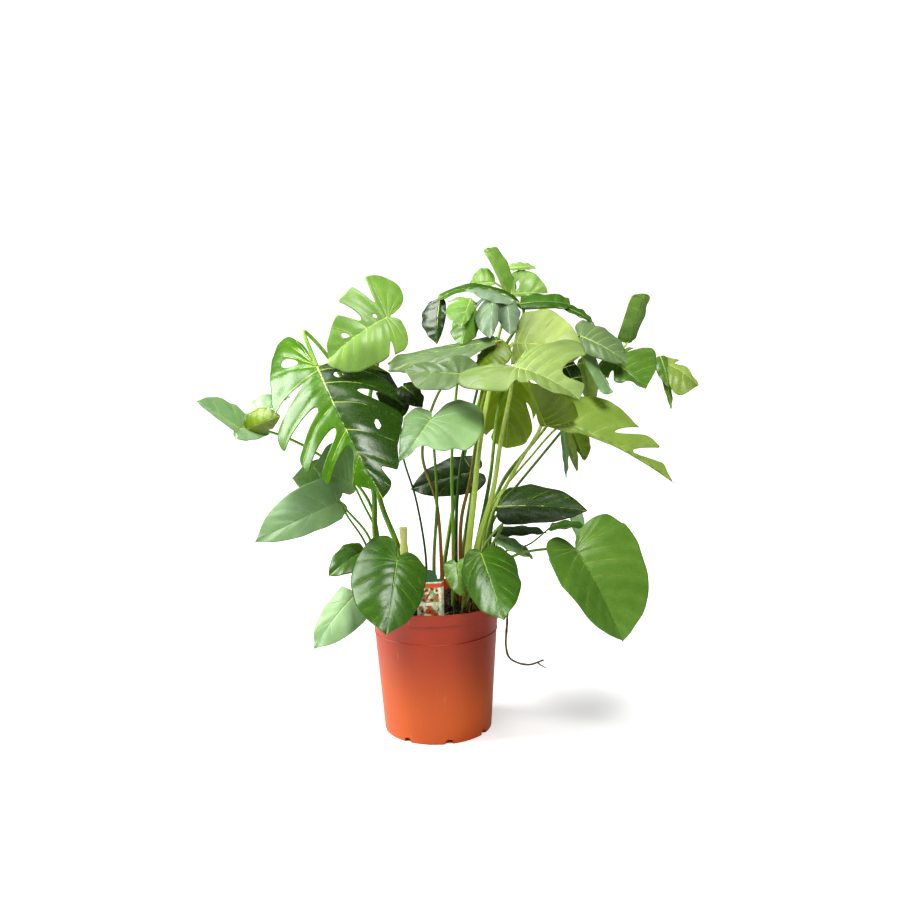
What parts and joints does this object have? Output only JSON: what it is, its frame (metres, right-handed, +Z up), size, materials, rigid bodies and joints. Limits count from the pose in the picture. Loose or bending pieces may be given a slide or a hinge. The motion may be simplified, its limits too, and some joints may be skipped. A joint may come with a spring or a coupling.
{
  "type": "potted swiss cheese plant",
  "caption": "Swiss cheese plant with cut and heart-shaped leaves on long stalks, in a round terracotta-coloured nursery pot with soil and a plant label.",
  "frame": {"origin": "centre of the pot's flat underside", "axes": "+Z up, along the pot's upright axis; -Y is the side with the plant label, seen by the picture's camera"},
  "size_m": [0.973, 0.4753, 0.9524],
  "materials": {
    "leaf_bright": "glossy leaf",
    "leaf_light": "glossy leaf",
    "leaf_mid": "satin leaf",
    "leaf_dark": "satin leaf",
    "leaf_grey": "satin leaf",
    "leaf_pale": "glossy leaf",
    "leaf_olive": "satin leaf",
    "leaf_withered": "dry",
    "stub": "satin",
    "root": "rough",
    "pot": "satin",
    "soil": "rough",
    "label": "satin"
  },
  "bodies": {
    "root": {"leaf_cut_left_front": "leaf_bright", "leaf_cut_left_upper": "leaf_light", "leaf_cut_left_far": "leaf_grey", "leaf_heart_left": "leaf_grey", "leaf_heart_left_back": "leaf_grey", "leaf_heart_left_inner": "leaf_grey", "leaf_heart_left_low": "leaf_pale", "leaf_heart_left_small": "leaf_dark", "leaf_heart_front_left": "leaf_mid", "leaf_heart_front_right": "leaf_mid", "leaf_heart_small": "leaf_mid", "leaf_heart_right": "leaf_mid", "leaf_heart_right_dark": "leaf_dark", "leaf_heart_centre": "leaf_grey", "leaf_heart_behind": "leaf_dark", "leaf_heart_edge_dark": "leaf_dark", "leaf_heart_edge_pale": "leaf_grey", "leaf_heart_edge_small": "leaf_olive", "leaf_heart_right_pale": "leaf_grey", "leaf_heart_right_edge": "leaf_dark", "leaf_withered": "leaf_withered", "leaf_cut_centre_grey": "leaf_grey", "leaf_cut_centre_low": "leaf_mid", "leaf_heart_centre_curl": "leaf_dark", "leaf_cut_centre_right": "leaf_bright", "leaf_cut_centre_pale": "leaf_pale", "leaf_cut_centre_back": "leaf_olive", "leaf_cut_top_arch": "leaf_olive", "leaf_cut_top_tall": "leaf_light", "leaf_cut_top_left": "leaf_light", "leaf_cut_top_front": "leaf_grey", "leaf_cut_right_long": "leaf_light", "leaf_cut_right_hanging": "leaf_olive", "leaf_cut_right_mid": "leaf_grey", "leaf_cut_right_upper": "leaf_mid", "leaf_cut_right_far": "leaf_pale", "stem_cut_stub": "stub", "root_aerial": "root", "pot": "pot", "soil": "soil", "plant_label": "label"}
  },
  "joints": []
}
